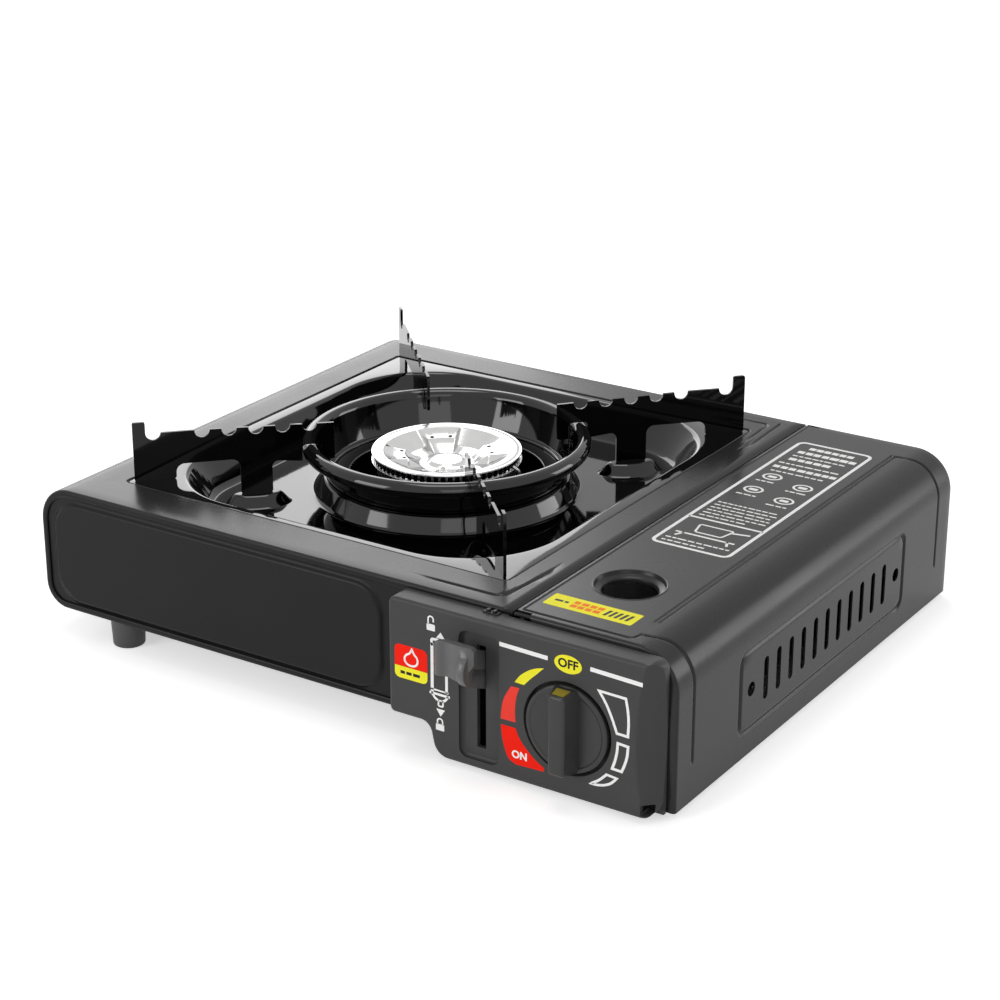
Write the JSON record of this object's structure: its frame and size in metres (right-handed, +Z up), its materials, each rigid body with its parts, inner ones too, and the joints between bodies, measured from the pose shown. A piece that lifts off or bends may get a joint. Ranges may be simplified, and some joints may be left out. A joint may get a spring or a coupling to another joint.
{
  "type": "butane cassette stove",
  "caption": "Low rectangular tabletop gas stove with a round burner, upright pan blades, an enamelled drip tray, a front knob and lever, and a hinged cartridge lid.",
  "frame": {"origin": "on the ground under the middle of the sheet-metal body", "axes": "+X to the right as the user faces the controls, +Y to the back, +Z up"},
  "size_m": [0.34, 0.2961, 0.1023],
  "materials": {
    "body_paint": "semi-gloss paint with a fine leather grain",
    "front_paint": "semi-gloss paint",
    "bare_steel": "galvanised",
    "black_steel": "black oxide",
    "polished_steel": "bright polished",
    "cast_zinc": "as cast",
    "brass": "turned",
    "copper_pipe": "drawn",
    "enamel": "gloss vitreous enamel",
    "panel_plastic": "moulded, fine matt",
    "knob_plastic": "moulded, satin",
    "white_plastic": "moulded nylon",
    "ceramic": "unglazed",
    "lead_sheath": "silicone sheath",
    "foot_plastic": "moulded"
  },
  "bodies": {
    "base": {"body_shell": "body_paint", "front_plate": "front_paint", "rear_plate": "front_paint", "cartridge_tub": "front_paint", "partition": "bare_steel", "cradle_rails": "bare_steel", "control_panel": "panel_plastic", "panel_screws": "black_steel", "igniter_body": "panel_plastic", "valve_body": "cast_zinc", "regulator_cover": "bare_steel", "valve_screws": "bare_steel", "valve_bulkhead": "bare_steel", "gas_pipe": "copper_pipe", "injector": "brass", "mixing_tube": "bare_steel", "burner_bracket": "bare_steel", "burner_base": "cast_zinc", "burner_cap": "polished_steel", "burner_screws": "bare_steel", "electrode_ceramic": "ceramic", "electrode_pin": "bare_steel", "ignition_lead": "lead_sheath", "lead_clips": "white_plastic", "lever_pin": "bare_steel", "lever_bracket": "bare_steel", "slide_guides": "bare_steel", "hinge_pin_front": "bare_steel", "hinge_pin_rear": "bare_steel", "tall_foot_front": "foot_plastic", "tall_foot_rear": "foot_plastic", "short_foot_front": "foot_plastic", "short_foot_rear": "foot_plastic"},
    "lid": {"lid": "body_paint"},
    "knob": {"gas_knob": "knob_plastic", "valve_spindle": "brass", "igniter_cam": "white_plastic"},
    "plunger": {"igniter_plunger": "white_plastic"},
    "lever": {"lock_lever": "knob_plastic"},
    "slide": {"cartridge_slide": "bare_steel"},
    "pan_support": {"drip_tray": "enamel", "windshield_ring": "enamel", "pan_blade_front_left": "enamel", "pan_blade_front_right": "enamel", "pan_blade_rear_left": "enamel", "pan_blade_rear_right": "enamel"}
  },
  "joints": [
    {"name": "lid_hinge", "type": "hinge", "parent": "base", "child": "lid", "pos_m": [0.0965, 0, 0.0705], "axis": [0, -1, 0], "range_deg": [0, 100]},
    {"name": "knob_turn", "type": "hinge", "parent": "base", "child": "knob", "pos_m": [0.125, 0, 0.0336], "axis": [0, -1, 0], "range_deg": [0, 135]},
    {"name": "plunger_push", "type": "slide", "parent": "base", "child": "plunger", "axis": [1, 0, 0], "range_m": [0, 0.00475]},
    {"name": "lever_swing", "type": "hinge", "parent": "base", "child": "lever", "pos_m": [0.082, -0.114, 0.0355], "axis": [1, 0, 0], "range_deg": [0, 48]},
    {"name": "slide_travel", "type": "slide", "parent": "base", "child": "slide", "axis": [0, -1, 0], "range_m": [0, 0.00702]},
    {"name": "tray_lift", "type": "slide", "parent": "base", "child": "pan_support", "axis": [0, 0, 1], "range_m": [0, 0.06]}
  ],
  "couplings": [
    {"joint": "plunger_push", "follows": "knob_turn", "m_per_rad": 0.002},
    {"joint": "slide_travel", "follows": "lever_swing", "m_per_rad": 0.00836}
  ]
}
